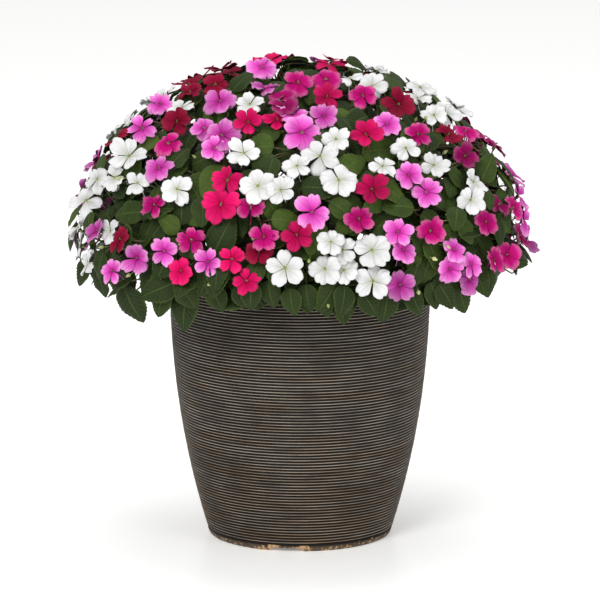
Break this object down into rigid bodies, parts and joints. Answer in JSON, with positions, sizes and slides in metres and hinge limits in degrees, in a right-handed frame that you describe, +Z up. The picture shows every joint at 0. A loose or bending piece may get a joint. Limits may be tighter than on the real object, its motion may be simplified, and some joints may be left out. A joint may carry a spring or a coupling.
{
  "type": "busy lizzie in a pot",
  "caption": "Busy lizzie in mixed colours, a round dome of small flat five-petalled blooms and toothed leaves over a tall ribbed pot that tapers to its foot.",
  "frame": {"origin": "the middle of the pot's foot, on the surface that it stands on", "axes": "+Z up, -Y towards the front of the plant, +X to the right as seen from the front"},
  "size_m": [0.6014, 0.6073, 0.6354],
  "materials": {
    "pot_resin": "moulded resin pot with fine ribs, near black with bronze rubbed over the crests",
    "soil": "moist potting soil",
    "foliage": "slightly glossy green leaves with paler veins, on pale green stems",
    "petals_white": "white petals, soft and matte",
    "petals_lilac": "lilac petals, soft and matte",
    "petals_magenta": "magenta petals, soft and matte",
    "petals_rose": "rose petals, soft and matte",
    "petals_crimson": "crimson petals, soft and matte"
  },
  "bodies": {
    "root": {"pot": "pot_resin", "soil": "soil", "plant_01_stems_and_leaves": "foliage", "plant_02_stems_and_leaves": "foliage", "plant_03_stems_and_leaves": "foliage", "plant_04_stems_and_leaves": "foliage", "plant_05_stems_and_leaves": "foliage", "plant_06_stems_and_leaves": "foliage", "plant_07_stems_and_leaves": "foliage", "plant_08_stems_and_leaves": "foliage", "plant_09_stems_and_leaves": "foliage", "plant_10_stems_and_leaves": "foliage", "plant_11_stems_and_leaves": "foliage", "spray_01_white": "petals_white", "spray_02_white": "petals_white", "spray_03_lilac": "petals_lilac", "spray_04_white": "petals_white", "spray_05_lilac": "petals_lilac", "spray_06_rose": "petals_rose", "spray_07_lilac": "petals_lilac", "spray_08_lilac": "petals_lilac", "spray_09_crimson": "petals_crimson", "spray_10_white": "petals_white", "spray_11_rose": "petals_rose", "spray_12_lilac": "petals_lilac", "spray_13_magenta": "petals_magenta", "spray_14_rose": "petals_rose", "spray_15_white": "petals_white", "spray_16_white": "petals_white", "spray_17_lilac": "petals_lilac", "spray_18_lilac": "petals_lilac", "spray_19_lilac": "petals_lilac", "spray_20_magenta": "petals_magenta", "spray_21_rose": "petals_rose", "spray_22_crimson": "petals_crimson", "spray_23_magenta": "petals_magenta", "spray_24_magenta": "petals_magenta", "spray_25_magenta": "petals_magenta", "spray_26_magenta": "petals_magenta", "spray_27_crimson": "petals_crimson", "spray_28_white": "petals_white", "spray_29_lilac": "petals_lilac", "spray_30_crimson": "petals_crimson", "spray_31_crimson": "petals_crimson", "spray_32_magenta": "petals_magenta", "spray_33_lilac": "petals_lilac", "spray_34_rose": "petals_rose", "spray_35_white": "petals_white", "spray_36_magenta": "petals_magenta", "spray_37_crimson": "petals_crimson", "spray_38_white": "petals_white", "spray_39_lilac": "petals_lilac", "spray_40_magenta": "petals_magenta", "spray_41_lilac": "petals_lilac", "spray_42_rose": "petals_rose", "spray_43_white": "petals_white", "spray_44_magenta": "petals_magenta", "spray_45_crimson": "petals_crimson", "spray_46_white": "petals_white", "spray_47_lilac": "petals_lilac"}
  },
  "joints": []
}
